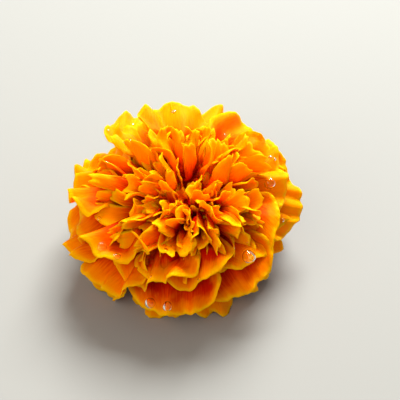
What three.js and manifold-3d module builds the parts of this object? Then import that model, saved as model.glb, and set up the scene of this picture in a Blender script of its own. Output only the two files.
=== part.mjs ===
// A double marigold flower (Tagetes patula), picked with a short stub of its stem.
// It sits face up on a flat surface, leaning a little toward -Y, and rests on the tips of its
// lowest ray florets and on the cut end of the stub.
//
// Everything is first made in the flower's own frame, with +Z along the flower's axis and the
// middle of the receptacle at the origin, then leaned over, raised and trimmed at the surface.
// Lengths are millimetres and angles degrees, unless a name says otherwise.

import * as THREE from "three";
import { mergeVertices } from "three/addons/utils/BufferGeometryUtils.js";
import Module from "manifold-3d";

const wasm = await Module();
wasm.setup();

const TURN = 2 * Math.PI;
const GOLDEN_TURN = Math.PI * (3 - Math.sqrt(5));

// How the flower sits.
const LEAN = 12;
const RECEPTACLE_HEIGHT = 17.5;
const GAP = 0.3;

// The green cup and the stem, by height along the flower's axis. The cup's rings go up its
// outside and down its inside, as shares of its height from foot to rim.
const CUP_RIM = { radius: 8.4, height: -3.2 };
const CUP_FOOT = { radius: 3.3, height: -14.6 };
const CUP_RINGS = { outside: [0, 0.12, 0.28, 0.46, 0.64, 0.82, 1], inside: [1, 0.8, 0.62] };
const CUP_FLARE = 0.8;
const CUP_BELLY = 0.9;
const CUP_WALL = 1.0;
const CUP_FLOOR = { radius: 5.55, height: -8.5 };
const CUP_TEETH = 8;
const CUP_TOOTH_HEIGHT = 2.2;
const CUP_RIB = 0.28;
const CUP_RIB_FADE = 4;
const CUP_SIDES = 48;
const STEM_RADIUS = { top: 2.9, cut: 2.5 };
const STEM_LENGTH = 5;
const STEM_SIDES = 32;

// The core: the mass of packed florets that the others stand out of, and below it a plug in the
// cup. The plug's radii are shares of the cup's inside.
const PLUG = [[0.66, -8.2], [0.84, -6.6], [0.95, -3.4], [0.97, -0.6]];
const CORE = [[12.5, 1.2], [15.6, 3.4], [15.4, 7.0], [12.8, 9.0], [9.0, 9.6], [5.0, 8.4]];
const CORE_TOP = 7.0;
const CORE_SIDES = 24;

// The blades' thickness, how far a strongly curled blade may close up, and the step over the
// blade at which its slope is taken.
const BLADE = 0.65;
const TIGHTEST_CURL = 0.9;
const SLOPE_STEP = 0.02;

// Shares of a floret's length: where its claw ends, where it is at its full width, where its curl
// has opened, where it has moved over with the heart, and where its frill turns round.
const CLAW_END = 0.1;
const FULL_WIDTH = 0.72;
const CURL_OPEN = 0.55;
const MOVED_OVER = 0.5;
const FRILL_CENTRE = 0.4;

// How far a floret's centre line keeps the slope of its root and of its tip, by its reach, and
// how much longer than its reach the floret is.
const ROOT_PULL = 0.45;
const TIP_PULL = 0.36;
const SLACK = 1.1;

// How deep a frill goes in from the margin, by the floret's width, and how square its corners are.
const FRILL_DEPTH = 0.22;
const CORNER_POWER = 2.5;

// Where the lowest whorl starts, so that two of its florets reach down either side of -Y.
const FIRST_FLORET = -110;

// How far the flower's heart lies off its axis, and the radius out to which florets follow it.
const HEART_OFFSET = new THREE.Vector2(3.0, -7.0);
const HEART_REACH = 34;

// How far a floret may differ from its whorl's row, either way. The first five grow with the
// row's variety: reach is a share, height is in millimetres, tipLean and twist are in degrees and
// swing is in radians. Place is a share of the spacing round the whorl. The rest are shares.
const DIFFERS = {
  reach: 0.05, height: 0.8, tipLean: 10, twist: 9, swing: 0.09,
  place: 0.2, placeByVariety: 0.08,
  width: 0.12, curl: 0.25, frill: 0.35, pleats: 0.25,
};

// Rays are the broad outer florets: fans, widest near the tip, with a ruffled margin. The crest
// is the ruff of small florets inside them: half funnels, open toward the heart, whose mouths
// are cut into lobes. A blade is made only from its start, which is inside the core.
const RAY = {
  cells: [6, 4], start: 0.12, claw: 0.14, corner: 0.38, lobes: 0, notch: 0, frills: 4.6,
  shingle: 17, variety: 1.0,
};
const CREST = {
  cells: [4, 1], start: 0.5, claw: 0.3, corner: 0, lobes: 2, notch: 0.16, frills: 3,
  shingle: 0, variety: 2.3, curlRoot: 250, curlTip: 150, pleat: 0, pleats: 1, frill: 0.5,
};

// One whorl of florets a row. A floret runs from its root to its tip, both as [radius, height];
// rootLean and tipLean are its slope there, from straight up (0) over flat (90) to down (180).
// A floret is curled round its length by curlRoot and curlTip, pleated along it and frilled along
// its margin.
const WHORLS = [
  { ...RAY, count: 9, tip: [26.0, -13.3], tipLean: 150, root: [6.2, 0.1], rootLean: 60,
    width: 21.5, curlRoot: 100, curlTip: 10, pleat: 0.5, pleats: 3.3, frill: 1.7 },
  { ...RAY, count: 9, tip: [30.0, -2.5], tipLean: 112, root: [6.0, 0.4], rootLean: 50,
    width: 22.0, curlRoot: 110, curlTip: 10, pleat: 0.6, pleats: 3.1, frill: 2.4 },
  { ...RAY, count: 9, tip: [28.0, 5.0], tipLean: 92, root: [5.6, 0.8], rootLean: 38,
    width: 20.5, curlRoot: 120, curlTip: 20, pleat: 0.6, pleats: 2.7, frill: 2.3 },
  { ...CREST, count: 12, tip: [22.5, 9.5], tipLean: 80, root: [5.0, 0.0], rootLean: 28,
    width: 11.5 },
  { ...CREST, count: 11, tip: [18.5, 14.0], tipLean: 58, root: [4.2, 0.6], rootLean: 20,
    width: 11.0 },
  { ...CREST, count: 9, tip: [13.6, 15.8], tipLean: 42, root: [3.4, 1.2], rootLean: 14,
    width: 10.0 },
  { ...CREST, count: 6, tip: [8.6, 14.8], tipLean: 30, root: [2.6, 1.7], rootLean: 9,
    width: 9.0 },
  { ...CREST, count: 3, tip: [3.4, 12.2], tipLean: 18, root: [1.2, 2.3], rootLean: 4,
    width: 7.0 },
];

// A repeatable draw between 0 and 1 for the kth property of floret i, and one either side of 0.
function draw(i, k) {
  const x = Math.sin(i * 12.9898 + k * 78.233) * 43758.5453;
  return x - Math.floor(x);
}

function vary(i, k, spread) {
  return (2 * draw(i, k) - 1) * spread;
}

function smooth(x) {
  const t = THREE.MathUtils.clamp(x, 0, 1);
  return t * t * (3 - 2 * t);
}

function heading(lean) {
  const angle = THREE.MathUtils.degToRad(lean);
  return new THREE.Vector2(Math.sin(angle), Math.cos(angle));
}

// The centre line of a floret in its own upright plane, x outward and y up.
function centreLine(root, rootLean, tip, tipLean) {
  const reach = root.distanceTo(tip);
  return new THREE.CubicBezierCurve(
    root,
    heading(rootLean).multiplyScalar(ROOT_PULL * reach).add(root),
    heading(tipLean).multiplyScalar(-TIP_PULL * reach).add(tip),
    tip,
  );
}

// All florets, each a whorl's row with its own seeded differences.
function layOutFlorets() {
  const florets = [];
  let whorlTurn = THREE.MathUtils.degToRad(FIRST_FLORET);
  for (const whorl of WHORLS) {
    const { variety } = whorl;
    const place = DIFFERS.place + DIFFERS.placeByVariety * variety;
    for (let k = 0; k < whorl.count; k += 1) {
      const i = florets.length + 1;
      const root = new THREE.Vector2(...whorl.root);
      const tip = new THREE.Vector2(
        whorl.tip[0] * (1 + vary(i, 2, DIFFERS.reach * variety)),
        whorl.tip[1] + vary(i, 3, DIFFERS.height * variety),
      );
      const tipLean = whorl.tipLean + vary(i, 4, DIFFERS.tipLean * variety);
      florets.push({
        ...whorl,
        line: centreLine(root, whorl.rootLean, tip, tipLean),
        turn: whorlTurn + (TURN / whorl.count) * (k + vary(i, 1, place)),
        length: SLACK * root.distanceTo(tip),
        width: whorl.width * (1 + vary(i, 5, DIFFERS.width)),
        curlTip: whorl.curlTip * (1 + vary(i, 10, DIFFERS.curl)),
        twist: THREE.MathUtils.degToRad(whorl.shingle + vary(i, 6, DIFFERS.twist * variety)),
        swing: vary(i, 7, DIFFERS.swing * variety ** 1.5),
        frill: whorl.frill * (1 + vary(i, 12, DIFFERS.frill)),
        frillPhase: TURN * draw(i, 8),
        pleats: whorl.pleats * (1 + vary(i, 11, DIFFERS.pleats)),
        pleatPhase: TURN * draw(i, 9),
        heartShare: 1 - smooth(tip.x / HEART_REACH),
      });
    }
    whorlTurn += GOLDEN_TURN;
  }
  return florets;
}

// The point at along (0 to 1) on a floret's centre line, moved sideways from it and raised off it
// toward the flower's axis.
function besideLine(floret, along, sideways, raised) {
  const centre = floret.line.getPoint(along);
  const tangent = floret.line.getTangent(along);
  const turn = floret.turn + floret.swing * along * along;
  const radius = centre.x - raised * tangent.y;
  const pulled = floret.heartShare * smooth(along / MOVED_OVER);
  return new THREE.Vector3(
    radius * Math.cos(turn) - sideways * Math.sin(turn) + HEART_OFFSET.x * pulled,
    radius * Math.sin(turn) + sideways * Math.cos(turn) + HEART_OFFSET.y * pulled,
    centre.y + raised * tangent.x,
  );
}

// The height of the waves across a blade's face: its frilled margin and its pleats.
function waves(floret, u, v, along, halfWidth) {
  const margin = Math.min((1 - Math.abs(u)) * halfWidth, (1 - v) * floret.length);
  const around = Math.atan2(u * halfWidth, (along - FRILL_CENTRE) * floret.length);
  const rim = Math.exp(-margin / (FRILL_DEPTH * floret.width));
  const frill = Math.sin(floret.frills * around + floret.frillPhase);
  const pleat = Math.sin(Math.PI * floret.pleats * u + floret.pleatPhase);
  return (
    floret.frill * rim * frill * smooth(along / 0.6)
    + floret.pleat * pleat * smooth((along - 0.2) / 0.6)
  );
}

// How far along its length a blade reaches at u: a ray has round corners, a crest floret lobes.
function bladeEnd(floret, u) {
  const roundOff = 1 - Math.sqrt(1 - Math.min(Math.abs(u), 1) ** CORNER_POWER);
  const notched = floret.lobes ? 0.5 + 0.5 * Math.cos(Math.PI * floret.lobes * (u + 1)) : 0;
  return 1 - floret.corner * roundOff - floret.notch * notched;
}

// The point of a floret's blade at u across (-1 to 1) and v along (start 0 to tip 1).
function bladePoint(floret, u, v) {
  const along = THREE.MathUtils.lerp(floret.start, bladeEnd(floret, u), v);
  const widening = smooth((along - CLAW_END) / (FULL_WIDTH - CLAW_END));
  const halfWidth = 0.5 * floret.width * THREE.MathUtils.lerp(floret.claw, 1, widening);
  const curl = THREE.MathUtils.lerp(floret.curlRoot, floret.curlTip, smooth(along / CURL_OPEN));
  const halfCurl = Math.min(THREE.MathUtils.degToRad(curl) / 2, halfWidth / TIGHTEST_CURL);
  const curlRadius = halfWidth / halfCurl;
  const fromCurlAxis = curlRadius - waves(floret, u, v, along, halfWidth);
  const section = new THREE.Vector2(
    fromCurlAxis * Math.sin(halfCurl * u),
    curlRadius - fromCurlAxis * Math.cos(halfCurl * u),
  ).rotateAround(new THREE.Vector2(), floret.twist * along);
  return besideLine(floret, along, section.x, section.y);
}

// The direction square to the blade at u and v, on the side that faces the flower's axis.
function bladeNormal(floret, u, v) {
  const left = bladePoint(floret, Math.max(-1, u - SLOPE_STEP), v);
  const right = bladePoint(floret, Math.min(1, u + SLOPE_STEP), v);
  const below = bladePoint(floret, u, Math.max(0, v - SLOPE_STEP));
  const above = bladePoint(floret, u, Math.min(1, v + SLOPE_STEP));
  return right.sub(left).cross(above.sub(below)).normalize();
}

// A floret's closed blade: the same grid of triangles on its two faces, joined round the rim.
function bladeGeometry(floret) {
  const [cellsAcross, cellsAlong] = floret.cells;
  const pointsPerRow = cellsAcross + 1;
  const pointsPerFace = pointsPerRow * (cellsAlong + 1);
  const points = [];
  for (const side of [0.5 * BLADE, -0.5 * BLADE]) {
    for (let row = 0; row <= cellsAlong; row += 1) {
      for (let column = 0; column <= cellsAcross; column += 1) {
        const u = (2 * column) / cellsAcross - 1;
        const v = row / cellsAlong;
        points.push(bladePoint(floret, u, v).addScaledVector(bladeNormal(floret, u, v), side));
      }
    }
  }
  const triangles = [];
  for (let row = 0; row < cellsAlong; row += 1) {
    for (let column = 0; column < cellsAcross; column += 1) {
      const a = row * pointsPerRow + column;
      const b = a + 1;
      const c = b + pointsPerRow;
      const d = a + pointsPerRow;
      triangles.push(a, b, c, a, c, d);
      triangles.push(...[c, b, a, d, c, a].map((point) => point + pointsPerFace));
    }
  }
  const rim = rimOfGrid(cellsAcross, cellsAlong);
  rim.forEach((point, k) => {
    const next = rim[(k + 1) % rim.length];
    triangles.push(point, point + pointsPerFace, next + pointsPerFace);
    triangles.push(point, next + pointsPerFace, next);
  });
  return meshOf(points, triangles);
}

function meshOf(points, triangles) {
  const geometry = new THREE.BufferGeometry().setFromPoints(points);
  geometry.setIndex(triangles);
  return geometry;
}

// The grid's outer points in order, so that the grid lies to the left of them.
function rimOfGrid(cellsAcross, cellsAlong) {
  const at = (column, row) => row * (cellsAcross + 1) + column;
  const rim = [];
  for (let column = 0; column < cellsAcross; column += 1) rim.push(at(column, 0));
  for (let row = 0; row < cellsAlong; row += 1) rim.push(at(cellsAcross, row));
  for (let column = cellsAcross; column > 0; column -= 1) rim.push(at(column, cellsAlong));
  for (let row = cellsAlong; row > 0; row -= 1) rim.push(at(0, row));
  return rim;
}

function toSolid(geometry) {
  const bare = geometry.clone();
  bare.deleteAttribute("normal");
  bare.deleteAttribute("uv");
  const merged = mergeVertices(bare, 1e-5);
  return new wasm.Manifold(new wasm.Mesh({
    numProp: 3,
    vertProperties: new Float32Array(merged.attributes.position.array),
    triVerts: new Uint32Array(merged.index.array),
  }));
}

function toGeometry(solid) {
  const mesh = solid.getMesh();
  const geometry = new THREE.BufferGeometry();
  geometry.setAttribute("position", new THREE.BufferAttribute(mesh.vertProperties, 3));
  geometry.setIndex(new THREE.BufferAttribute(mesh.triVerts, 1));
  return geometry;
}

// A solid of revolution about the flower's axis, from [radius, height] points.
function turned(profile, sides) {
  const points = profile.map(([radius, height]) => new THREE.Vector2(radius, height));
  return new THREE.LatheGeometry(points, sides).rotateX(Math.PI / 2);
}

function coreGeometry() {
  const inside = CUP_RIM.radius - CUP_WALL - CUP_RIB - GAP;
  const plug = PLUG.map(([share, height]) => [share * inside, height]);
  const plugFoot = plug[0][1];
  return turned([[0, plugFoot], ...plug, ...CORE, [0, CORE_TOP]], CORE_SIDES);
}

// A solid's largest skin alone, so that pockets sealed between florets are filled.
function outerSkin(solid) {
  const larger = (one, other) => (other.volume() > one.volume() ? other : one);
  return solid.decompose().reduce(larger);
}

const leanAndRaise = new THREE.Matrix4()
  .makeTranslation(0, 0, RECEPTACLE_HEIGHT)
  .multiply(new THREE.Matrix4().makeRotationX(THREE.MathUtils.degToRad(LEAN)));

// A flower-frame geometry, set as the flower sits and trimmed flat where it meets the surface.
function settle(solid) {
  const placed = toSolid(toGeometry(solid).applyMatrix4(leanAndRaise));
  const above = new THREE.BoxGeometry(200, 200, 200).translate(0, 0, 100);
  return toGeometry(outerSkin(placed.intersect(toSolid(above))));
}

function petals() {
  let bloom = toSolid(coreGeometry());
  for (const floret of layOutFlorets()) {
    bloom = bloom.add(toSolid(bladeGeometry(floret)));
  }
  return settle(outerSkin(bloom));
}

// The cup's outside at a share of its height, as [radius, height].
function cupWall(share) {
  const radius = THREE.MathUtils.lerp(CUP_FOOT.radius, CUP_RIM.radius, share ** CUP_FLARE);
  const height = THREE.MathUtils.lerp(CUP_FOOT.height, CUP_RIM.height, share);
  return [radius + CUP_BELLY * Math.sin(Math.PI * share), height];
}

function plainCup() {
  const outside = CUP_RINGS.outside.map(cupWall);
  const inside = CUP_RINGS.inside.map((share) => {
    const [radius, height] = cupWall(share);
    return [radius - CUP_WALL, height];
  });
  const floor = [[CUP_FLOOR.radius, CUP_FLOOR.height], [0, CUP_FLOOR.height]];
  return turned([[0, CUP_FOOT.height], ...outside, ...inside, ...floor], CUP_SIDES);
}

// The green cup of fused bracts that holds the florets: a rib along each bract and a tooth at the
// end of it.
function involucre() {
  const cup = plainCup();
  const { position } = cup.attributes;
  const point = new THREE.Vector3();
  for (let k = 0; k < position.count; k += 1) {
    point.fromBufferAttribute(position, k);
    const bract = Math.cos(CUP_TEETH * Math.atan2(point.y, point.x));
    const radius = Math.hypot(point.x, point.y);
    if (radius > CUP_FOOT.radius / 2) {
      const rib = CUP_RIB * bract * smooth((CUP_RIM.height - point.z) / CUP_RIB_FADE);
      point.x *= 1 + rib / radius;
      point.y *= 1 + rib / radius;
    }
    if (point.z > CUP_RIM.height - 0.01) {
      point.z += CUP_TOOTH_HEIGHT * (0.5 + 0.5 * bract);
    }
    position.setXYZ(k, point.x, point.y, point.z);
  }
  return settle(toSolid(cup));
}

// The stub of the stem, cut across where it meets the surface.
function stem() {
  const top = CUP_FOOT.height - GAP;
  const cut = top - STEM_LENGTH;
  const profile = [[0, cut], [STEM_RADIUS.cut, cut], [STEM_RADIUS.top, top], [0, top]];
  return settle(toSolid(turned(profile, STEM_SIDES)));
}

function piece(name, geometry, color, roughness) {
  const material = new THREE.MeshStandardMaterial({ color, roughness, metalness: 0 });
  const mesh = new THREE.Mesh(geometry, material);
  mesh.name = name;
  return mesh;
}

const flower = new THREE.Group();
flower.add(piece("petals", petals(), 0xeb7b01, 0.6));
flower.add(piece("involucre", involucre(), 0x5f7a2c, 0.6));
flower.add(piece("stem", stem(), 0x6f8a3a, 0.65));

// The origin is on the surface, below the middle of the flower's outline.
const middle = new THREE.Box3().setFromObject(flower, true).getCenter(new THREE.Vector3());
flower.position.set(-middle.x, -middle.y, 0);

export default flower;
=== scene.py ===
"""The looks of a picked double marigold flower (Tagetes patula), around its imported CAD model.

The CAD node "petals" is replaced by finer florets grown by the same rule, in the same places:
broad ruffled rays in tiers, and a crest of small lobed funnels round a sunken heart. The green
cup and the stem stub get their ribs, glands and cut face, and water drops lie on the petals.

Shapes are worked out in millimetres in the flower's own frame, with +Z along the flower's axis
and the receptacle at the origin, and then seated in the CAD frame, in metres. The floor, the
lamps and the camera are placed in metres from the start.
"""

import math

import bpy
import numpy as np
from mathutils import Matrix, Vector
from mathutils.bvhtree import BVHTree


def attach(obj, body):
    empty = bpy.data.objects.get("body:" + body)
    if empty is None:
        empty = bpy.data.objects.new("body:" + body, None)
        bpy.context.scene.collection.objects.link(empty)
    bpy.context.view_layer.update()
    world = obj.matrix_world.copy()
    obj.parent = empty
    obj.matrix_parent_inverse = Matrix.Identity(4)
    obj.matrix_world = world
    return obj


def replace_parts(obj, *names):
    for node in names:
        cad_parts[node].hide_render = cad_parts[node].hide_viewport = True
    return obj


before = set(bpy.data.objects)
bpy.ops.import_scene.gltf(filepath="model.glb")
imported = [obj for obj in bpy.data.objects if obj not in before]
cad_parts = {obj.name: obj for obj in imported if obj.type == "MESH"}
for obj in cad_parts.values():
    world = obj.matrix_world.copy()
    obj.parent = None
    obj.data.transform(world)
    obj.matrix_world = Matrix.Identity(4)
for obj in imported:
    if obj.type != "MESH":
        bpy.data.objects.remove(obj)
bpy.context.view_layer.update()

MM = 0.001
TURN = 2 * math.pi
GOLDEN_TURN = math.pi * (3 - math.sqrt(5))

# How the flower sits, and how far its heart is pulled off the axis, as in the CAD model. Pieces
# keep clear of the surface, and CAD points at its level belong to the stem's cut face.
LEAN = math.radians(12)
RECEPTACLE_HEIGHT = 17.5
FIRST_FLORET = math.radians(-110)
HEART_OFFSET = (3.0, -7.0)
HEART_REACH = 34
SURFACE_CLEARANCE = 0.03
SAME_LEVEL = 0.01

# A floret runs from its root to its tip, both as (radius, height); root_lean and tip_lean are
# its slope there, from straight up (0) over flat (90) to down (180). Rays are the broad outer
# florets: fans, widest near the tip, with a ruffled margin. The crest is the ruff of small
# florets inside them: funnels, split at the mouth into lobes that flare outward.
RAY = dict(
    cells=(72, 48), claw=0.14, corner=0.42, notch=0.04, crimp=0.16, roll=0.4, shingle=17,
    variety=1.0, frills=12.0, folds=4.9,
)
CREST = dict(
    cells=(12, 30), claw=0.24, lobes=4, crimp=0.24, roll=0.0, shingle=0, variety=2.3,
    curl_root=345, curl_tip=325, pleat=0.0, pleats=1.0, frills=6.0, fold=0.0, folds=1.0,
)
WHORLS = [
    dict(RAY, name="rays_low", count=9, tip=(26.0, -13.3), tip_lean=150, root=(6.2, 0.1),
         root_lean=60, width=22.5, curl_root=100, curl_tip=10, pleat=0.6, pleats=4.3,
         frill=0.8, fold=1.6),
    dict(RAY, name="rays_middle", count=9, tip=(30.0, -2.5), tip_lean=112, root=(6.0, 0.4),
         root_lean=50, width=25.0, curl_root=110, curl_tip=10, pleat=0.7, pleats=4.0,
         frill=0.9, fold=2.2),
    dict(RAY, name="rays_upper", count=9, tip=(28.0, 5.0), tip_lean=92, root=(5.6, 0.8),
         root_lean=38, width=23.5, curl_root=120, curl_tip=20, pleat=0.7, pleats=3.6,
         frill=0.9, fold=2.3),
    dict(CREST, name="crest_outer", count=12, tip=(22.5, 9.5), tip_lean=80, root=(5.0, 0.0),
         root_lean=28, mouth=3.6, lobe=7.6, frill=0.9),
    dict(CREST, name="crest_outer", count=11, tip=(18.5, 14.0), tip_lean=58, root=(4.2, 0.6),
         root_lean=20, mouth=3.6, lobe=7.2, frill=0.9),
    dict(CREST, name="crest_inner", count=9, tip=(13.6, 15.8), tip_lean=42, root=(3.4, 1.2),
         root_lean=14, mouth=3.3, lobe=6.6, frill=0.85),
    dict(CREST, name="crest_inner", count=6, tip=(8.6, 14.8), tip_lean=30, root=(2.6, 1.7),
         root_lean=9, mouth=3.0, lobe=6.0, frill=0.8),
    dict(CREST, name="heart", count=3, tip=(3.4, 12.2), tip_lean=18, root=(1.2, 2.3),
         root_lean=4, mouth=2.6, lobe=4.8, frill=0.6),
]

# The handles of a floret's centre line and its length, in distances from root to tip.
ROOT_HANDLE = 0.45
TIP_HANDLE = 0.36
LINE_LENGTH = 1.1

# The number of the draw behind each property. Where an item has several lobes or notches, they
# take the numbers from there on.
DRAWS = dict(
    turn=1, radius=2, height=3, tip_lean=4, width=5, mouth=5, twist=6, swing=7, frill_phase=8,
    pleat_phase=9, curl_tip=10, pleats=11, frill=12, notch=13, fold=14, skew=15, lobes=16,
    lobe_reach=20, lobe_flare=30, tone=40, lobe_notch=50, lobe_skew=60,
    gland_angle=1, gland_share=2, gland_length=3, drop_angle=1, drop_out=2, drop_size=3,
)
FIRST_GLAND = 200
FIRST_SMALL_DROP = 400

# How far a floret's own property differs to either side: a share of its whorl's, but for height
# in millimetres, leans, twists and flares in degrees, swing in radians, skews in half widths and
# turn in its whorl's spacing.
SPREADS = dict(
    turn=1.0, radius=0.05, height=0.8, tip_lean=10, width=0.12, mouth=0.2, twist=9, swing=0.09,
    curl_tip=0.25, pleats=0.25, frill=0.35, fold=0.5, skew=0.16, lobe_flare=48, lobe_skew=0.22,
)
UNEVEN_SPACING = 0.2
UNEVEN_BY_VARIETY = 0.08

# Where along a floret each change sets in, and over how much of its length it goes on, both as
# shares. A ray's tip gets narrower, and the margins of rays and of lobes come out in painted light.
FAN_SPREAD = (0.1, 0.62)
TIP_NARROWING = (0.66, 0.34)
CURL_OPENING = (0.0, 0.55)
HEART_PULL = (0.0, 0.5)
WAVE_GROWTH = (0.0, 0.6)
PLEAT_GROWTH = (0.2, 0.6)
RAY_IN_PAINTED_LIGHT = (0.35, 0.3)
LOBE_IN_PAINTED_LIGHT = (0.0, 0.3)
NARROWED = 0.10

# A ray's outline: the power that rounds its corners, its two notches, and its scallops, coarse
# and fine, each as (share of their depth, waves from the middle to the side in radians).
CORNER_POWER = 2.5
NOTCH_PLACES = (-1 / 3, 1 / 3)
NOTCH_WIDTH = 0.13
NOTCH_SHARE = 0.3
NOTCH_SHARE_DRAWN = 1.2
SCALLOPS = ((1.0, 11), (0.4, 29))
SCALLOP_DEPTH = 0.009

# A funnel's lobes: how many a draw can add to the least number, the least reach of a lobe and
# what a draw and the funnel's outer side add to it, its mean flare in degrees, the powers that
# round it across and along, the share of its reach that is whole, its notch and its ragged edge.
MORE_LOBES = 1.9
LOBE_REACH = 0.55
LOBE_REACH_DRAWN = 0.4
LOBE_REACH_OUTSIDE = 0.2
LOBE_FLARE = 44
LOBE_POWERS = (3.6, 0.6)
LOBE_WHOLE = 0.16
LOBE_NOTCH = 0.30
LOBE_NOTCH_WIDTH = 0.14
RAGGED = ((0.04, 43), (0.03, 71))
LEAST_BEND = 1e-6

# A blade's waves fan out from a point on its middle. Frills and folds reach in from its margin by
# a share of its width, crimps and the rolled rim by millimetres. Folds are calmer at the sides.
WAVE_CENTRE = 0.4
FRILL_REACH = 0.17
FOLD_REACH = 0.34
CRIMP_REACH = 1.5
ROLL_REACH = 0.7
CALM_SIDES = (0.45, 0.5)
CALMED = 0.75
CRIMPS_PER_FRILL = 4.1
ROLL_WAVES = 1.7
ROLL_MEAN = 0.8
ROLL_SWING = 0.8

# A blade's thickness, the share of it left at the margin, and how far in it is full.
BLADE = 0.26
BLADE_AT_MARGIN = 0.45
BLADE_TAPER = 0.8

# How ripe a floret's colour gets, as (ripeness, power of the place along): a ray at its tip, a
# funnel at the foot of its lobes, with what its lobes add. Florets at the back, toward the key
# lamp, get painted backlight: their colour turns more golden, and that of the front ones redder.
RAY_RIPE = (0.88, 1.8)
THROAT_RIPE = (0.60, 2.3)
LOBE_RIPE = 0.38
PAINTED_BACKLIGHT_MEAN = 0.35
PAINTED_BACKLIGHT_RADIUS = 20

# The cup of fused bracts: its rim and foot as (radius, height), the share of its height down to
# which it is hollow, and a tooth, a rib and a sharp keel for each bract, with fine striae between.
# Teeth and the thinning of the wall set in and go on over shares of its height.
CUP_RIM = (8.4, -3.2)
CUP_FOOT = (3.3, -14.6)
CUP_BELLY = 0.9
CUP_FLARE_POWER = 0.8
CUP_WALL = 1.0
CUP_WALL_AT_RIM = 0.35
CUP_DEPTH = 0.6
CUP_TEETH = 8
CUP_TOOTH_HEIGHT = 2.2
CUP_TOOTH_POWER = 1.25
CUP_TOOTHED = (0.80, 0.20)
CUP_THINNING = (0.7, 0.3)
CUP_RIB = 0.28
CUP_RIB_FADE = 4
CUP_KEEL = 0.16
CUP_KEEL_WIDTH = 0.02
CUP_STRIA = 0.03
STRIAE_PER_BRACT = 9
CUP_POINTS_AROUND = 320
CUP_FIRST_RING = 0.02
CUP_RINGS_OUTSIDE = 84
CUP_RINGS_INSIDE = 14

# The cup's oil glands: how many and how large, how far aside of a bract's middle in bracts, and
# the share of the cup's height where their rows start and over which they go on.
GLANDS_PER_BRACT = 11
GLAND_HEIGHT = 0.09
GLAND_HALF_WIDTH = 0.24
GLAND_HALF_LENGTH = 0.45
GLAND_HALF_LENGTH_DRAWN = 0.4
GLAND_ASIDE = 0.10
GLAND_ASIDE_DRAWN = 0.22
GLANDS_FROM = 0.30
GLANDS_OVER = 0.66
GLAND_STAGGER = 0.7

# The stem's stub, under a gap: its radii, its ribs and finer ones between, its shade as on the
# cup's foot, and the rings of its cut face as shares of its radius, with a sunken pith.
GAP = 0.3
STEM_TOP_RADIUS = 2.9
STEM_CUT_RADIUS = 2.5
STEM_RIBS = 13
STEM_RIB = 0.14
STEM_FINE_RIB = 0.05
STEM_RIBS_BEGIN = (0, 0.1)
STEM_POINTS_AROUND = 156
STEM_RINGS = 40
STEM_CROWN = 0.15
CUT_RINGS = (0.96, 0.88, 0.72, 0.5, 0.3, 0.12)
PITH_HOLLOW = 0.25
PITH_EDGE = 0.75
PITH_SLOPE = 0.4

# The tubes inside the bloom: their outline as (radius, height), its two poles, how many
# tubes ring it and how deep they are, the heights over which they set in and ripen, and a margin
# so far off that none shows.
CORE_PROFILE = np.array([
    (1.5, -4.2), (5.6, -3.8), (6.6, -2.0), (7.6, 0.0), (8.8, 2.0), (9.2, 4.0), (8.0, 5.6),
    (5.0, 6.0), (2.0, 5.4),
])
CORE_POLES = (-4.2, 5.2)
CORE_POINTS_AROUND = 120
CORE_RINGS = 40
TUBES = 17
TUBE_DEPTH = 0.3
TUBE_SLANT = 0.4
TUBES_BEGIN = (-4, 3)
CORE_UNEVEN = 0.2
CORE_RIPE = 0.30
CORE_RIPENING = (-3, 8)
CORE_MARGIN = 9

# The middle of each large water drop, as a pixel of the 400 x 400 frame, and its radius.
DROPS = [
    ((249, 256), 1.7),
    ((270, 184), 1.4),
    ((102, 247), 1.2),
    ((117, 256), 0.9),
    ((146, 257), 0.8),
    ((150, 303), 1.3),
    ((167, 306), 1.2),
]
HALF_FRAME = 200

# Small drops: how many, their distances from the axis, their radii, and a height over them all.
SMALL_DROPS = 22
SMALL_DROP_OUT = (17, 28)
SMALL_DROP_RADIUS = (0.25, 0.65)
ABOVE_ALL = 60.0

# A drop's height and how far round it the petal is searched, in radii, and how deep it sinks in.
# Its dome's rings run from near its top to its edge, and its base's rings back inward.
DROP_HEIGHT = 0.46
DROP_SEARCH = 1.2
DROP_SUNK = 0.03
DROP_POINTS_AROUND = 40
DROP_DOME = np.sin(np.linspace(0.08, 0.5 * math.pi, 12)).tolist()
DROP_BASE = [0.9, 0.65, 0.4, 0.15]

# A petal's veins and clouds are noise, with scales across and along a floret and from one to the
# next. Its colours go by ripeness, which its tone with painted backlight, its veins and its back
# shift. Over them lie a painted glow, partly the petal's own lighter margin, and its own golden
# line along the margin, each from and to so many edge widths, which the clouds vary between two of
# their values. Both show only where the margin is in painted light.
VEINS = dict(across=2.2, along=0.16, apart=3.7, scale=1.6, detail=3.0)
CLOUDS = dict(across=0.3, along=0.2, apart=1.0, scale=1.0, detail=2.0)
RIPE_BY_TONE_AND_BACKLIGHT = 0.22
RIPE_BY_VEINS = 0.35
RIPE_BY_BACK = 0.05
EDGE_WIDTHS = (0.35, 0.65, 0.7, 1.4)
PAINTED_GLOW_REACH = (0.4, 4.8)
PAINTED_GLOW = 0.75
GOLDEN_REACH = (0.25, 1.5)
VEIN_BUMP = (0.35, 0.0003)
PETAL_COLORS = (
    (0.12, (0.38, 0.001, 0.0)),
    (0.34, (0.50, 0.009, 0.0)),
    (0.55, (0.76, 0.084, 0.0)),
    (0.73, (0.99, 0.220, 0.0)),
    (1.00, (1.00, 0.340, 0.0)),
)
PAINTED_GLOW_COLOR = (1.0, 0.28, 0.0, 1)
GOLDEN_COLOR = (1.0, 0.43, 0.0, 1)

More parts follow.
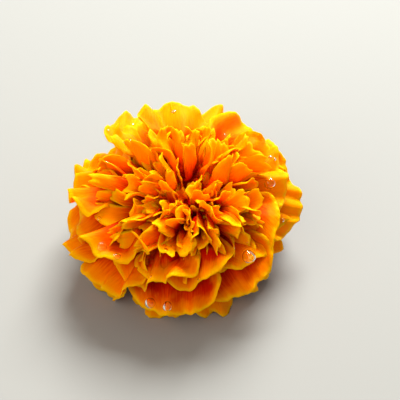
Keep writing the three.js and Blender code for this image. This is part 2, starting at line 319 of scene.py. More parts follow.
# Greens go by shade, from mottles and streaks. Over them lie the colours of the cup's rim, its
# teeth, its glands and the stem's pith, between two values of their attribute and with two shares.
MOTTLE_SCALE = 700
MOTTLE_SHARE = 0.7
STREAK_SHARE = 0.25
RIM_SHARES = (0.75, 1.0, 0.0, 0.45)
TOOTH_SHARES = (1.3, 2.2, 0.0, 0.6)
GLAND_SHARE = 0.85
PITH_SHARES = (0.05, 0.35, 0.0, 1.0)
MOTTLE_BUMP = (0.3, 0.0002)
GREEN_COLORS = (
    (0.25, (0.035, 0.090, 0.012)),
    (0.50, (0.085, 0.180, 0.024)),
    (0.80, (0.190, 0.300, 0.060)),
)
RIM_COLOR = (0.30, 0.30, 0.05, 1)
TOOTH_COLOR = (0.32, 0.13, 0.03, 1)
GLAND_COLOR = (0.13, 0.045, 0.008, 1)
PITH_COLOR = (0.62, 0.66, 0.40, 1)

# The clear water is tinted warm: a painted golden glow of the light it focuses on the petals.
WATER_PAINTED_GLOW_TINT = (1.0, 0.93, 0.72, 1)

# The floor is a square, and turns pale between two distances from the flower.
FLOOR_HALF_SIZE = 4.0
FLOOR_NEAR_COLOR = (0.31, 0.335, 0.37, 1)
FLOOR_FAR_COLOR = (0.90, 0.92, 0.94, 1)
FLOOR_PALING = (0.35, 1.5)

# Each lamp as its name, place, size, power and colour. They point at the flower.
LAMPS = [
    ("key", (0.10, 0.38, 0.52), 0.35, 10.0, (1.0, 0.94, 0.80)),
    ("fill", (-0.35, -0.45, 0.50), 0.6, 2.8, (1.0, 0.84, 0.62)),
]
LAMP_TARGET = (0, 0, 0.02)
SKY_COLOR = (1.0, 0.86, 0.70, 1)
SKY_STRENGTH = 0.44

CAMERA_ELEVATION = math.radians(44)
CAMERA_DISTANCE = 0.296
CAMERA_TARGET = np.array([0.0046, -0.0005, 0.0190])
CAMERA_LENS = 105


# --- seeded draws and blends --------------------------------------------------------------

def draw(i, name, n=0):
    """A repeatable number between 0 and 1 for the named property of item i, or its nth."""
    x = math.sin(i * 12.9898 + (DRAWS[name] + n) * 78.233) * 43758.5453
    return x - math.floor(x)


def vary(i, name, scale=1, n=0):
    """A repeatable difference, to either side, for the named property of item i."""
    return (2 * draw(i, name, n) - 1) * (SPREADS[name] * scale)


def smooth(x):
    x = np.clip(x, 0, 1)
    return x * x * (3 - 2 * x)


def rise(x, start, over):
    """0 up to the start, and from there a smooth rise to 1."""
    return smooth((x - start) / over)


def mix(a, b, share):
    return a + (b - a) * share


def dip(x, middle, width):
    """A bell of height 1, for cutting a notch at its middle."""
    return np.exp(-(((x - middle) / width) ** 2))


# --- florets ------------------------------------------------------------------------------

def heading(lean):
    return np.array([math.sin(math.radians(lean)), math.cos(math.radians(lean))])


def centre_line(root, root_lean, tip, tip_lean):
    """The four control points of a floret's centre line, in its own upright plane."""
    root, tip = np.array(root, float), np.array(tip, float)
    reach = np.linalg.norm(tip - root)
    return np.array([
        root,
        root + ROOT_HANDLE * reach * heading(root_lean),
        tip - TIP_HANDLE * reach * heading(tip_lean),
        tip,
    ])


def along_line(line, t):
    """Points of a centre line and its unit tangents there."""
    root, lift, reach, tip = line
    s = 1 - t
    points = s ** 3 * root + 3 * s ** 2 * t * lift + 3 * s * t ** 2 * reach + t ** 3 * tip
    tangents = s ** 2 * (lift - root) + 2 * s * t * (reach - lift) + t ** 2 * (tip - reach)
    return points, tangents / np.linalg.norm(tangents, axis=-1, keepdims=True)


def lay_out_florets():
    """All florets, whorl by whorl, from the lowest rays to the heart."""
    florets = []
    whorl_turn = FIRST_FLORET
    for whorl in WHORLS:
        for k in range(whorl["count"]):
            florets.append(make_floret(whorl, whorl_turn, k, len(florets) + 1))
        whorl_turn += GOLDEN_TURN
    return florets


def make_floret(whorl, whorl_turn, k, i):
    """The kth floret of a whorl and the ith of all: its whorl's row, with seeded differences."""
    variety = whorl["variety"]
    radius, height = whorl["tip"]
    tip = (radius * (1 + vary(i, "radius", variety)), height + vary(i, "height", variety))
    tip_lean = whorl["tip_lean"] + vary(i, "tip_lean", variety)
    line = centre_line(whorl["root"], whorl["root_lean"], tip, tip_lean)
    uneven = vary(i, "turn", UNEVEN_SPACING + UNEVEN_BY_VARIETY * variety)
    floret = dict(
        whorl,
        line=line,
        number=i,
        turn=whorl_turn + TURN / whorl["count"] * (k + uneven),
        length=LINE_LENGTH * np.linalg.norm(line[3] - line[0]),
        twist=math.radians(whorl["shingle"] + vary(i, "twist", variety)),
        swing=vary(i, "swing", variety ** 1.5),
        frill_phase=TURN * draw(i, "frill_phase"),
        pleat_phase=TURN * draw(i, "pleat_phase"),
        pleats=whorl["pleats"] * (1 + vary(i, "pleats")),
        frill=whorl["frill"] * (1 + vary(i, "frill")),
        fold=whorl["fold"] * (1 + vary(i, "fold")),
        skew=vary(i, "skew"),
        heart_share=1 - smooth(tip[0] / HEART_REACH),
    )
    # Painted backlight: florets at the back, by the key lamp, turn more golden, front ones redder.
    floret["sunned"] = (math.sin(floret["turn"]) + PAINTED_BACKLIGHT_MEAN) * smooth(radius / PAINTED_BACKLIGHT_RADIUS)
    if "lobes" in whorl:
        add_lobes(floret, i)
    else:
        floret["width"] = whorl["width"] * (1 + vary(i, "width"))
        floret["curl_tip"] = whorl["curl_tip"] * (1 + vary(i, "curl_tip"))
        floret["notches"] = [
            whorl["notch"] * (NOTCH_SHARE + NOTCH_SHARE_DRAWN * draw(i, "notch", n))
            for n in range(len(NOTCH_PLACES))
        ]
    return floret


def add_lobes(floret, i):
    """A funnel's own mouth and lobes. The lobes on its outer side, in the middle, are longer."""
    lobes = floret["lobes"] + int(MORE_LOBES * draw(i, "lobes"))
    outer = 1 - np.abs(np.linspace(-1, 1, lobes))
    mouth = floret["mouth"] * (1 + vary(i, "mouth"))
    cells_across, cells_along = floret["cells"]
    floret.update(
        lobes=lobes,
        cells=(lobes * cells_across, cells_along),
        width=mouth * math.radians(floret["curl_tip"]),
        split=1 - floret["lobe"] / floret["length"],
        reaches=np.array([
            LOBE_REACH + LOBE_REACH_DRAWN * draw(i, "lobe_reach", n) + LOBE_REACH_OUTSIDE * outer[n]
            for n in range(lobes)
        ]),
        flares=np.radians([LOBE_FLARE + vary(i, "lobe_flare", n=n) for n in range(lobes)]),
        tip_notches=np.array([LOBE_NOTCH * draw(i, "lobe_notch", n) for n in range(lobes)]),
        lobe_skews=np.array([vary(i, "lobe_skew", n=n) for n in range(lobes)]),
    )


def ripples(floret, place, coarse, fine):
    """Two sets of small waves in a blade's outline, each as (height, waves)."""
    return (coarse[0] * np.sin(coarse[1] * place + floret["frill_phase"])
            + fine[0] * np.sin(fine[1] * place + floret["pleat_phase"]))


def fan_ends(floret, u):
    """How far along a ray each of its columns reaches: rounded corners, two notches, scallops."""
    across = u + floret["skew"] * (1 - u * u)
    rounded = 1 - np.sqrt(1 - np.minimum(np.abs(u), 1) ** CORNER_POWER)
    ends = 1 - floret["corner"] * rounded
    for depth, place in zip(floret["notches"], NOTCH_PLACES):
        ends = ends - depth * dip(across, place, NOTCH_WIDTH)
    return ends + SCALLOP_DEPTH * ripples(floret, across, *SCALLOPS)


def lobe_of(floret, u):
    """The number of the lobe at u, and the place across that lobe from 0 to 1."""
    place = (u + 1) / 2 * floret["lobes"]
    number = np.clip(place.astype(int), 0, floret["lobes"] - 1)
    return number, place - number


def funnel_ends(floret, u):
    """How far along a funnel each of its columns reaches: round lobes, each notched a little."""
    number, place = lobe_of(floret, u)
    leaning = place + floret["lobe_skews"][number] * np.sin(math.pi * place)
    power_across, power_along = LOBE_POWERS
    rounded = np.maximum(1 - np.abs(2 * leaning - 1) ** power_across, 0) ** power_along
    notch = floret["tip_notches"][number] * dip(leaning, 0.5, LOBE_NOTCH_WIDTH)
    ragged = ripples(floret, u, *RAGGED)
    reached = LOBE_WHOLE + (1 - LOBE_WHOLE) * rounded * (1 - notch + ragged)
    return floret["split"] + (1 - floret["split"]) * (floret["reaches"][number] * reached)


def waves(floret, u, along, half_width, margin):
    """The height of a blade's waves: frilled margin, folds, pleats, crimps and a rolled rim."""
    width, frill_phase, pleat_phase = floret["width"], floret["frill_phase"], floret["pleat_phase"]
    around = np.arctan2(u * half_width, (along - WAVE_CENTRE) * floret["length"])
    grown = rise(along, *WAVE_GROWTH)
    frill_rim = np.exp(-margin / (FRILL_REACH * width))
    frill = np.sin(floret["frills"] * around + frill_phase)
    fold_rim = np.exp(-margin / (FOLD_REACH * width))
    calm = 1 - CALMED * rise(np.abs(u), *CALM_SIDES)
    fold = np.sin(floret["folds"] * around + pleat_phase) * calm
    pleat = np.sin(math.pi * floret["pleats"] * u + pleat_phase) * rise(along, *PLEAT_GROWTH)
    crimp_rim = np.exp(-margin / CRIMP_REACH)
    crimp = crimp_rim * np.sin(CRIMPS_PER_FRILL * floret["frills"] * around + 2 * pleat_phase)
    roll_rim = np.exp(-margin / ROLL_REACH)
    roll = roll_rim * (ROLL_MEAN + ROLL_SWING * np.sin(ROLL_WAVES * around + pleat_phase))
    return (
        floret["frill"] * frill_rim * frill * grown
        + floret["fold"] * fold_rim * fold * grown
        + floret["pleat"] * pleat
        + floret["crimp"] * crimp * grown
        - floret["roll"] * roll * grown
    )


def flare_lobes(floret, u, along):
    """How far a funnel's lobes bend outward from it, and where that leaves them along it."""
    number, _ = lobe_of(floret, u)
    reach = (1 - floret["split"]) * floret["length"]
    beyond = np.maximum(along - floret["split"], 0) / (1 - floret["split"])
    bent = floret["flares"][number] * beyond
    safely = np.where(np.abs(bent) < LEAST_BEND, 1, bent)
    outward = reach * beyond * (1 - np.cos(bent)) / safely
    forward = reach * beyond * np.sinc(bent / math.pi)
    return outward, np.minimum(along, floret["split"]) + forward / floret["length"]


def blade_surface(floret, u, v):
    """Points of the middle of a blade at u across (-1 to 1) and v along (root 0 to tip 1), with
    their distance from its margin, their ripeness and how far they are out in painted light."""
    funnel = "lobes" in floret
    ends = funnel_ends(floret, u) if funnel else fan_ends(floret, u)
    along = v * ends
    flared, advanced = flare_lobes(floret, u, along) if funnel else (0, along)
    centre, tangent = along_line(floret["line"], advanced[..., None])

    spread = mix(floret["claw"], 1, rise(along, *FAN_SPREAD))
    narrowing = 0 if funnel else NARROWED * rise(along, *TIP_NARROWING)
    half_width = 0.5 * floret["width"] * spread * (1 - narrowing)
    curl = mix(floret["curl_root"], floret["curl_tip"], rise(along, *CURL_OPENING))
    half_curl = np.radians(curl) / 2

    slope = np.gradient(ends, axis=1) / np.gradient(u, axis=1) * floret["length"] / half_width
    to_tip = (1 - v) * ends * floret["length"] / np.sqrt(1 + slope ** 2)
    margin = np.minimum((1 - np.abs(u)) * half_width, to_tip)
    lifted = waves(floret, u, along, half_width, margin) - flared
    curl_radius = half_width / half_curl
    aside = (curl_radius - lifted) * np.sin(half_curl * u)
    raised = curl_radius - (curl_radius - lifted) * np.cos(half_curl * u)

    turned = floret["twist"] * along
    aside, raised = (aside * np.cos(turned) - raised * np.sin(turned),
                     aside * np.sin(turned) + raised * np.cos(turned))
    if funnel:
        raised = raised - curl_radius
    turn = floret["turn"] + floret["swing"] * along ** 2
    radius = centre[..., 0] - raised * tangent[..., 1]
    pulled = floret["heart_share"] * rise(along, *HEART_PULL)
    points = np.stack([
        radius * np.cos(turn) - aside * np.sin(turn) + HEART_OFFSET[0] * pulled,
        radius * np.sin(turn) + aside * np.cos(turn) + HEART_OFFSET[1] * pulled,
        centre[..., 1] + raised * tangent[..., 0],
    ], axis=-1)
    ripe, exposed = ripeness(floret, along)
    return points, dict(margin=margin, ripe=ripe, exposed=exposed)


def ripeness(floret, along):
    """How far a floret's colour has turned from red at its base (0) to gold at its tip (1), and
    how far its margin is out in painted light."""
    if "lobes" not in floret:
        ripe, power = RAY_RIPE
        return ripe * along ** power, rise(along, *RAY_IN_PAINTED_LIGHT)
    ripe, power = THROAT_RIPE
    in_throat = np.minimum(along / floret["split"], 1)
    in_lobe = np.clip((along - floret["split"]) / (1 - floret["split"]), 0, 1)
    return ripe * in_throat ** power + LOBE_RIPE * in_lobe, rise(in_lobe, *LOBE_IN_PAINTED_LIGHT)


def grid_rim(index):
    """The outer points of a grid of point numbers, in order."""
    return np.concatenate([index[0, :-1], index[:-1, -1], index[-1, :0:-1], index[:0:-1, 0]])


def blade(floret):
    """A closed blade with its shading attributes."""
    cells_across, cells_along = floret["cells"]
    across = np.linspace(-1, 1, cells_across + 1)
    if "lobes" not in floret:
        across = np.sin(0.5 * math.pi * across)
    u, v = np.meshgrid(across, np.linspace(0, 1, cells_along + 1))
    middle, shading = blade_surface(floret, u, v)
    normal = np.cross(np.gradient(middle, axis=1), np.gradient(middle, axis=0))
    normal /= np.linalg.norm(normal, axis=-1, keepdims=True) + 1e-12
    tapered = mix(BLADE_AT_MARGIN, 1, rise(shading["margin"], 0, BLADE_TAPER))
    half = (0.5 * BLADE * tapered)[..., None] * normal
    points = np.concatenate([(middle + half).reshape(-1, 3), (middle - half).reshape(-1, 3)])

    count = u.size
    index = np.arange(count).reshape(u.shape)
    a, b, c, d = index[:-1, :-1], index[:-1, 1:], index[1:, 1:], index[1:, :-1]
    front = np.stack([a, b, c, d], axis=-1).reshape(-1, 4)
    rim = grid_rim(index)
    following = np.roll(rim, -1)
    edge = np.stack([rim, rim + count, following + count, following], axis=1)
    quads = np.concatenate([front, front[:, ::-1] + count, edge])

    number = floret["number"]
    shading.update(
        aside=u * (0.5 * floret["width"]),
        lengthwise=v * floret["length"],
        tone=np.full(u.shape, draw(number, "tone") + floret["sunned"]),
        number=np.full(u.shape, float(number)),
    )
    attributes = {name: np.tile(value.ravel(), 2) for name, value in shading.items()}
    attributes["back"] = np.repeat([0.0, 1.0], count)
    return points, quads, attributes


# --- meshes in the CAD frame --------------------------------------------------------------

def seat_offset():
    """Where the receptacle is in the CAD frame, in millimetres, from the stem's cut face."""
    points = np.array([vertex.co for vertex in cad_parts["stem"].data.vertices]) / MM
    cut_face = points[points[:, 2] < SAME_LEVEL]
    middle = (cut_face.min(axis=0) + cut_face.max(axis=0)) / 2
    return np.array([middle[0], middle[1] - RECEPTACLE_HEIGHT * math.tan(LEAN), RECEPTACLE_HEIGHT])


SEAT = seat_offset()
LEANING = np.array([
    [1, 0, 0],
    [0, math.cos(LEAN), -math.sin(LEAN)],
    [0, math.sin(LEAN), math.cos(LEAN)],
])


def seated(points):
    """Points of the flower's own frame, in the CAD frame and in metres, kept above the surface."""
    placed = points @ LEANING.T + SEAT
    placed[:, 2] = np.maximum(placed[:, 2], SURFACE_CLEARANCE)
    return placed * MM


def mesh_piece(name, points, faces, material, attributes=None):
    """A smooth piece that rides on the flower, with a value of each attribute for every point."""
    mesh = bpy.data.meshes.new(name)
    mesh.from_pydata(points.tolist(), [], [list(face) for face in faces])
    for label, values in (attributes or {}).items():
        layer = mesh.attributes.new(label, "FLOAT", "POINT")
        layer.data.foreach_set("value", values.astype(np.float32))
    mesh.polygons.foreach_set("use_smooth", [True] * len(mesh.polygons))
    mesh.materials.append(material)
    piece = bpy.data.objects.new(name, mesh)
    bpy.context.scene.collection.objects.link(piece)
    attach(piece, "root")
    return piece


def floret_piece(name, florets, material):
    """One piece of several florets."""
    points, quads, layers, start = [], [], {}, 0
    for floret in florets:
        own_points, own_quads, own_layers = blade(floret)
        points.append(own_points)
        quads.append(own_quads + start)
        start += len(own_points)
        for label, values in own_layers.items():
            layers.setdefault(label, []).append(values)
    attributes = {label: np.concatenate(values) for label, values in layers.items()}
    return mesh_piece(name, seated(np.concatenate(points)), np.concatenate(quads), material,
                      attributes)


# --- green parts, core and drops ----------------------------------------------------------

def skin(rings, first_pole, last_pole):
    """A closed skin over rings of points, each ring a loop, with a pole at both ends."""
    rows, columns = rings.shape[:2]
    index = np.arange(rows * columns).reshape(rows, columns)
    a, d = index[:-1], index[1:]
    b, c = np.roll(a, -1, axis=1), np.roll(d, -1, axis=1)
    quads = np.stack([a, b, c, d], axis=-1).reshape(-1, 4).tolist()
    start, end = rows * columns, rows * columns + 1
    first_fan = [(start, int(q), int(p)) for p, q in zip(index[0], np.roll(index[0], -1))]
    last_fan = [(end, int(p), int(q)) for p, q in zip(index[-1], np.roll(index[-1], -1))]
    points = np.concatenate([rings.reshape(-1, 3), [first_pole, last_pole]])
    return points, quads + first_fan + last_fan


def around_axis(radius, angle, height):
    """Points from their distance to the flower's axis, angle round it and height along it."""
    radius, angle, height = np.broadcast_arrays(radius, angle, height)
    return np.stack([radius * np.cos(angle), radius * np.sin(angle), height], axis=-1)


def full_turn(count):
    """Angles once round the axis, as one row."""
    return np.linspace(0, TURN, count, endpoint=False)[None, :]


def column(values):
    return np.asarray(values, float)[:, None]


def with_poles(values):
    """A shading value for each point of a skin, from its rings' values."""
    return np.concatenate([values.ravel(), [values[0].mean(), values[-1].mean()]])


def on_skin(shape, **values):
    """Attributes of a skin with rings of this shape, each from a number, a row or a column."""
    full = np.ones(shape)
    return {name: with_poles(value * full) for name, value in values.items()}


def bract_glands():
    """The oil glands in the cup's skin, as (angle, share of its height, half length)."""
    glands = []
    for bract in range(CUP_TEETH):
        for n in range(GLANDS_PER_BRACT):
            i = FIRST_GLAND + bract * GLANDS_PER_BRACT + n
            side = 1 if n % 2 else -1
            aside = GLAND_ASIDE + GLAND_ASIDE_DRAWN * draw(i, "gland_angle")
            row = n + GLAND_STAGGER * draw(i, "gland_share")
            glands.append((
                TURN / CUP_TEETH * (bract + side * aside),
                GLANDS_FROM + GLANDS_OVER * row / GLANDS_PER_BRACT,
                GLAND_HALF_LENGTH + GLAND_HALF_LENGTH_DRAWN * draw(i, "gland_length"),
            ))
    return glands


def cup_piece(material):
    """The involucre: ribbed outside with oil glands, toothed at its rim, hollow down to a floor."""
    angle = full_turn(CUP_POINTS_AROUND)
    outside = column(np.linspace(CUP_FIRST_RING, 1, CUP_RINGS_OUTSIDE))
    inside = column(np.linspace(1, CUP_DEPTH, CUP_RINGS_INSIDE))
    share = np.concatenate([outside, inside])
    is_outside = np.concatenate([np.ones_like(outside), np.zeros_like(inside)])
    (foot_radius, foot_height), (rim_radius, rim_height) = CUP_FOOT, CUP_RIM
    height = mix(foot_height, rim_height, share)
    radius = (mix(foot_radius, rim_radius, share ** CUP_FLARE_POWER)
              + CUP_BELLY * np.sin(math.pi * share))
    bract = np.cos(CUP_TEETH * angle)
    toothed = (0.5 + 0.5 * bract) ** CUP_TOOTH_POWER
    tooth = CUP_TOOTH_HEIGHT * toothed * rise(share, *CUP_TOOTHED)
    wall = mix(CUP_WALL, CUP_WALL_AT_RIM, rise(share, *CUP_THINNING))
    rib = CUP_RIB * bract * rise(rim_height - height, 0, CUP_RIB_FADE)
    keel = CUP_KEEL * np.exp(-((1 - bract) / CUP_KEEL_WIDTH)) * is_outside
    striae = np.sin(STRIAE_PER_BRACT * CUP_TEETH * angle)

    gland = np.zeros((len(share), CUP_POINTS_AROUND))
    for middle, at, half_length in bract_glands():
        aside = (np.mod(angle - middle + math.pi, TURN) - math.pi) * radius
        along = (share - at) * (rim_height - foot_height)
        from_middle = (aside / GLAND_HALF_WIDTH) ** 2 + (along / half_length) ** 2
        gland = np.maximum(gland, np.exp(-from_middle ** 2))
    gland *= is_outside
    radius = (radius + rib + keel + CUP_STRIA * striae * is_outside + GLAND_HEIGHT * gland
              - wall * (1 - is_outside))
    rings = around_axis(radius, angle, height + tooth)
    floor_height = mix(foot_height, rim_height, CUP_DEPTH)
    points, faces = skin(rings, (0, 0, foot_height), (0, 0, floor_height))
    attributes = on_skin(gland.shape, gland=gland, crown=share, streak=striae, tooth=tooth)
    return mesh_piece("involucre_skin", seated(points), faces, material, attributes)


def surface_height(radius, angle):
    """How far along the flower's leaning axis the surface lies, at a distance and angle from it."""
    lowered = math.sin(LEAN) * radius * np.sin(angle)
    return (SURFACE_CLEARANCE - RECEPTACLE_HEIGHT - lowered) / math.cos(LEAN)


def stem_piece(material):
    """The ribbed stub of the stem, cut off level with the surface, with its pith in the cut."""
    angle = full_turn(STEM_POINTS_AROUND)
    down = column(np.linspace(0, 1, STEM_RINGS))
    top = CUP_FOOT[1] - GAP
    rib = (STEM_RIB * np.cos(STEM_RIBS * angle)
           + STEM_FINE_RIB * np.cos(3 * STEM_RIBS * angle + 1.0))
    radius = mix(STEM_TOP_RADIUS, STEM_CUT_RADIUS, down) + rib * rise(down, *STEM_RIBS_BEGIN)
    sides = around_axis(radius, angle, mix(top, surface_height(radius, angle), down))
    inward = column(CUT_RINGS)
    face_radius = inward * radius[-1:]
    hollow = PITH_HOLLOW * smooth((PITH_EDGE - inward) / PITH_SLOPE)
    face = around_axis(face_radius, angle, surface_height(face_radius, angle) + hollow)
    rings = np.concatenate([sides, face])
    points, faces = skin(rings, (0, 0, top), np.mean(face[-1], axis=0))
    attributes = on_skin(
        rings.shape[:2], gland=0, crown=STEM_CROWN, streak=np.cos(STEM_RIBS * angle), tooth=0,
        pith=np.concatenate([np.zeros_like(down), 1 - inward]),
    )
    # The rings run down, so the faces are turned over to look outward.
    faces = [face[::-1] for face in faces]
    return mesh_piece("stem_skin", seated(points), faces, material, attributes)


def core_piece(material):
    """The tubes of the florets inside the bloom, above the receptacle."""
    places = np.linspace(0, len(CORE_PROFILE) - 1, CORE_RINGS)
    radius, height = (
        column(np.interp(places, range(len(CORE_PROFILE)), values)) for values in CORE_PROFILE.T
    )
    angle = full_turn(CORE_POINTS_AROUND)
    slanted = np.cos(TUBES * angle + TUBE_SLANT * height)
    tubes = TUBE_DEPTH * np.abs(slanted) * rise(height, *TUBES_BEGIN)
    uneven = CORE_UNEVEN * np.sin(9 * angle) * np.sin(3 * radius)
    rings = around_axis(radius + tubes, angle, height + uneven)
    bottom, top = CORE_POLES
    points, faces = skin(rings, (0, 0, bottom), (0, 0, top))
    attributes = on_skin(
        rings.shape[:2], ripe=CORE_RIPE * rise(height, *CORE_RIPENING), aside=radius * angle,
        margin=CORE_MARGIN, lengthwise=height, tone=0.5, number=0, back=0, exposed=0,
    )
    return mesh_piece("floret_tubes", seated(points), faces, material, attributes)


def drop_rays(camera):
    """A line toward the petals for each drop, as (start, direction, the drop's radius)."""
    half_view = 0.5 * camera.data.sensor_width / camera.data.lens
    rays = []
    for (across, down), radius in DROPS:
        right, up = (across - HALF_FRAME) / HALF_FRAME, (HALF_FRAME - down) / HALF_FRAME
        through = Vector((right * half_view, up * half_view, -1))
        rays.append((camera.location, camera.rotation_quaternion @ through, radius))
    along_axis = Vector((0, math.sin(LEAN), -math.cos(LEAN)))
    for i in range(FIRST_SMALL_DROP, FIRST_SMALL_DROP + SMALL_DROPS):
        angle, out = TURN * draw(i, "drop_angle"), mix(*SMALL_DROP_OUT, draw(i, "drop_out"))
        above = seated(around_axis(out, angle, ABOVE_ALL)[None, :])[0]
        radius = mix(*SMALL_DROP_RADIUS, draw(i, "drop_size") ** 2)
        rays.append((Vector(above), along_axis, radius))
    return rays


def drop_spots(camera, surface):
    """Where the drops lie: each as its point on a petal, the petal's normal and a radius."""
    spots = []
    for start, direction, radius in drop_rays(camera):
        point, normal, _, _ = surface.ray_cast(start, direction.normalized())
        if point is not None:
            spots.append((point, normal if normal.dot(direction) < 0 else -normal, radius))
    return spots


def drop_geometry(point, normal, radius, surface):
    """A drop that clings to the petal under it: a flat dome over a base that follows the petal."""
    sideways = normal.orthogonal().normalized()
    upward = normal.cross(sideways)
    top, search, sunk = DROP_HEIGHT * radius * MM, DROP_SEARCH * radius * MM, DROP_SUNK * MM
    rings = []
    for place, domed in [(b, 1) for b in DROP_DOME] + [(b, 0) for b in DROP_BASE]:
        lifted = top * math.sqrt(max(0, 1 - place ** 2)) if domed else -sunk
        ring = []
        for angle in full_turn(DROP_POINTS_AROUND)[0].tolist():
            outward = math.cos(angle) * sideways + math.sin(angle) * upward
            offset = radius * MM * place * outward
            above = point + offset + search * normal
            hit = surface.ray_cast(above, -normal, 2 * search)[0]
            foot = hit if hit is not None else point + offset
            ring.append(foot + lifted * normal)
        rings.append(ring)
    return skin(np.array(rings), tuple(point + top * normal), tuple(point - sunk * normal))


def drops_piece(camera, petals, material):
    """All water drops as one piece, over the petals as they are."""
    points, faces = [], []
    for piece in petals:
        start = len(points)
        points += [vertex.co.copy() for vertex in piece.data.vertices]
        faces += [[start + corner for corner in face.vertices] for face in piece.data.polygons]
    surface = BVHTree.FromPolygons(points, faces)
    drop_points, drop_faces, start = [], [], 0
    for point, normal, radius in drop_spots(camera, surface):
        own_points, own_faces = drop_geometry(point, normal, radius, surface)
        drop_points.append(own_points)
        drop_faces += [[corner + start for corner in face] for face in own_faces]
        start += len(own_points)
    return mesh_piece("water_drops", np.concatenate(drop_points), drop_faces, material)


# --- materials ----------------------------------------------------------------------------

class Nodes:
    """Short calls for building one material's nodes. Each takes outputs or plain values."""

    def __init__(self, name):
        self.material = bpy.data.materials.new(name)
        self.material.use_nodes = True
        self.tree = self.material.node_tree
        self.shader = self.tree.nodes["Principled BSDF"]

    def node(self, kind, **settings):
        made = self.tree.nodes.new(kind)
        for key, value in settings.items():
            setattr(made, key, value)
        return made

    def link(self, value, target):
        if hasattr(value, "is_linked"):
            self.tree.links.new(value, target)
        else:
            target.default_value = value

    def surface(self, values):
        """Give the shader's own inputs their values, by name."""
        for label, value in values.items():
            self.link(value, self.shader.inputs[label])

    def attribute(self, name):
        return self.node("ShaderNodeAttribute", attribute_name=name).outputs["Fac"]

    def position(self):
        return self.node("ShaderNodeNewGeometry").outputs["Position"]

    def math(self, operation, *values):
        made = self.node("ShaderNodeMath", operation=operation)
        for value, target in zip(values, made.inputs):
            self.link(value, target)
        return made.outputs[0]

    def scaled(self, name, factor):
        return self.math("MULTIPLY", self.attribute(name), factor)

    def nudged(self, value, by, share):
        """A value, moved by a share of how far another one is from a half."""
        apart = self.math("SUBTRACT", by, 0.5)
        return self.math("ADD", value, self.math("MULTIPLY", apart, share))

    def map_range(self, value, low, high, start=0.0, end=1.0):
        made = self.node("ShaderNodeMapRange", interpolation_type="SMOOTHSTEP")
        for item, target in zip((value, low, high, start, end), made.inputs):
            self.link(item, target)
        return made.outputs[0]

    def ramp(self, value, stops):
        made = self.node("ShaderNodeValToRGB")
        elements = made.color_ramp.elements
        while len(elements) < len(stops):
            elements.new(0.5)
        for element, (position, color) in zip(elements, stops):
            element.position = position
            element.color = (*color, 1)
        self.link(value, made.inputs[0])
        return made.outputs[0]

    def blend(self, share, first, second):
        """One colour over another. A Mix node's sockets for colour are inputs 6 and 7, output 2."""
        made = self.node("ShaderNodeMix", data_type="RGBA")
        self.link(share, made.inputs[0])
        self.link(first, made.inputs[6])
        self.link(second, made.inputs[7])
        return made.outputs[2]

    def vector(self, x, y, z):
        made = self.node("ShaderNodeCombineXYZ")
        for value, target in zip((x, y, z), made.inputs):
            self.link(value, target)
        return made.outputs[0]

    def noise(self, vector, scale, detail):
        made = self.node("ShaderNodeTexNoise")
        self.link(vector, made.inputs["Vector"])
        made.inputs["Scale"].default_value = scale
        made.inputs["Detail"].default_value = detail
        return made.outputs[0]

    def petal_noise(self, across, along, apart, scale, detail):
        """Noise that follows each floret and differs from one to the next."""
        place = self.vector(
            self.scaled("aside", across),
            self.scaled("lengthwise", along),
            self.scaled("number", apart),
        )
        return self.noise(place, scale, detail)

    def bump(self, height, strength, distance):
        made = self.node("ShaderNodeBump")
        self.link(height, made.inputs["Height"])
        made.inputs["Strength"].default_value = strength
        made.inputs["Distance"].default_value = distance
        self.link(made.outputs[0], self.shader.inputs["Normal"])


def petal_material():
    """Orange faces over a red base with painted backlight, fine lengthwise veins, and a golden
    margin under a painted glow, both shown only where the margin is in painted light.
    """
    nodes = Nodes("petal")
    veins, clouds = nodes.petal_noise(**VEINS), nodes.petal_noise(**CLOUDS)
    # The tone carries each floret's own random tone and its painted backlight.
    ripe = nodes.nudged(nodes.attribute("ripe"), nodes.attribute("tone"), RIPE_BY_TONE_AND_BACKLIGHT)
    ripe = nodes.nudged(ripe, veins, RIPE_BY_VEINS)
    ripe = nodes.math("ADD", ripe, nodes.scaled("back", RIPE_BY_BACK))
    face = nodes.ramp(ripe, PETAL_COLORS)

    edge_width = nodes.map_range(clouds, *EDGE_WIDTHS)
    from_edge = nodes.math("DIVIDE", nodes.attribute("margin"), edge_width)
    # Painted light on the margin: the glow and the golden line show only where it is out in the
    # light.
    exposed = nodes.attribute("exposed")
    painted_glow = nodes.math("MULTIPLY", nodes.map_range(from_edge, *PAINTED_GLOW_REACH, PAINTED_GLOW, 0.0), exposed)
    golden = nodes.math("MULTIPLY", nodes.map_range(from_edge, *GOLDEN_REACH, 1.0, 0.0), exposed)
    color = nodes.blend(golden, nodes.blend(painted_glow, face, PAINTED_GLOW_COLOR), GOLDEN_COLOR)
    nodes.surface({
        "Base Color": color,
        "Roughness": 0.5,
        "Specular IOR Level": 0.05,
        "Specular Tint": (1.0, 0.50, 0.12, 1),
        "Subsurface Weight": 0.5,
        "Subsurface Radius": (1.0, 0.30, 0.02),
        "Subsurface Scale": 0.0012,
    })
    nodes.bump(veins, *VEIN_BUMP)
    return nodes.material


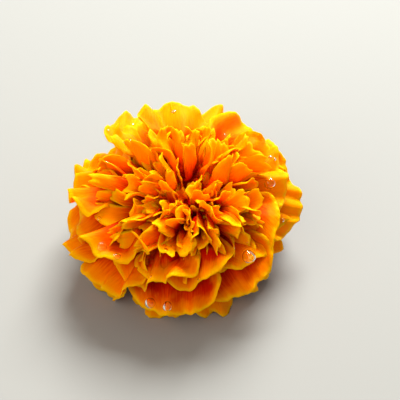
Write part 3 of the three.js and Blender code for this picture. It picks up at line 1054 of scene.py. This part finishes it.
def green_material():
    """Green bract skin with brown oil glands, paler ribs and a pale pith in the stem's cut."""
    nodes = Nodes("bract")
    mottle = nodes.noise(nodes.position(), MOTTLE_SCALE, 3.0)
    mottled = nodes.math("MULTIPLY", mottle, MOTTLE_SHARE)
    streak = nodes.map_range(nodes.attribute("streak"), -1.0, 1.0)
    shade = nodes.math("ADD", mottled, nodes.math("MULTIPLY", streak, STREAK_SHARE))
    color = nodes.ramp(shade, GREEN_COLORS)
    rim = nodes.map_range(nodes.attribute("crown"), *RIM_SHARES)
    tooth = nodes.map_range(nodes.attribute("tooth"), *TOOTH_SHARES)
    gland = nodes.scaled("gland", GLAND_SHARE)
    pith = nodes.map_range(nodes.attribute("pith"), *PITH_SHARES)
    for share, over in (
        (rim, RIM_COLOR), (tooth, TOOTH_COLOR), (gland, GLAND_COLOR), (pith, PITH_COLOR),
    ):
        color = nodes.blend(share, color, over)
    nodes.surface({
        "Base Color": color,
        "Roughness": 0.42,
        "Specular IOR Level": 0.4,
        "Subsurface Weight": 0.15,
        "Subsurface Radius": (0.6, 1.0, 0.2),
        "Subsurface Scale": 0.0006,
    })
    nodes.bump(mottle, *MOTTLE_BUMP)
    return nodes.material


def drop_material():
    """Clear water, tinted warm as a painted golden glow."""
    nodes = Nodes("water")
    nodes.surface({
        "Base Color": WATER_PAINTED_GLOW_TINT,
        "Roughness": 0.0,
        "IOR": 1.33,
        "Transmission Weight": 1.0,
    })
    return nodes.material


# --- stage --------------------------------------------------------------------------------

def floor_material():
    """A pale matte floor, paler far off, where the lamps hardly reach it."""
    nodes = Nodes("floor")
    distance = nodes.node("ShaderNodeVectorMath", operation="LENGTH")
    nodes.link(nodes.position(), distance.inputs[0])
    far = nodes.map_range(distance.outputs["Value"], *FLOOR_PALING)
    nodes.surface({
        "Base Color": nodes.blend(far, FLOOR_NEAR_COLOR, FLOOR_FAR_COLOR),
        "Roughness": 0.8,
        "Specular IOR Level": 0.2,
    })
    return nodes.material


def make_floor():
    size = FLOOR_HALF_SIZE
    corners = [(-size, -size, 0), (size, -size, 0), (size, size, 0), (-size, size, 0)]
    mesh = bpy.data.meshes.new("floor")
    mesh.from_pydata(corners, [], [(0, 1, 2, 3)])
    mesh.materials.append(floor_material())
    floor = bpy.data.objects.new("floor", mesh)
    bpy.context.scene.collection.objects.link(floor)


def aim(thing, target):
    """Turn a lamp or a camera toward a place."""
    thing.rotation_mode = "QUATERNION"
    thing.rotation_quaternion = (Vector(target) - Vector(thing.location)).to_track_quat("-Z", "Y")


def make_lights():
    scene = bpy.context.scene
    for name, location, size, power, color in LAMPS:
        light = bpy.data.lights.new(name, "AREA")
        light.size = size
        light.energy = power
        light.color = color
        lamp = bpy.data.objects.new(name, light)
        scene.collection.objects.link(lamp)
        lamp.location = location
        aim(lamp, LAMP_TARGET)
    world = bpy.data.worlds.new("studio")
    world.use_nodes = True
    background = world.node_tree.nodes["Background"]
    background.inputs["Color"].default_value = SKY_COLOR
    background.inputs["Strength"].default_value = SKY_STRENGTH
    scene.world = world
    scene.view_settings.view_transform = "Standard"


def make_camera():
    lens = bpy.data.cameras.new("camera")
    lens.lens = CAMERA_LENS
    camera = bpy.data.objects.new("camera", lens)
    bpy.context.scene.collection.objects.link(camera)
    back = np.array([0, -math.cos(CAMERA_ELEVATION), math.sin(CAMERA_ELEVATION)])
    camera.location = CAMERA_TARGET + CAMERA_DISTANCE * back
    aim(camera, CAMERA_TARGET)
    bpy.context.scene.camera = camera
    return camera


# --- the flower ---------------------------------------------------------------------------

petal, green, water = petal_material(), green_material(), drop_material()
all_florets = lay_out_florets()
petals = []
for name in dict.fromkeys(whorl["name"] for whorl in WHORLS):
    petals.append(floret_piece(name, [f for f in all_florets if f["name"] == name], petal))
petals.append(core_piece(petal))
for piece in petals:
    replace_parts(piece, "petals")
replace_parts(cup_piece(green), "involucre")
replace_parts(stem_piece(green), "stem")

make_floor()
make_lights()
drops_piece(make_camera(), petals, water)
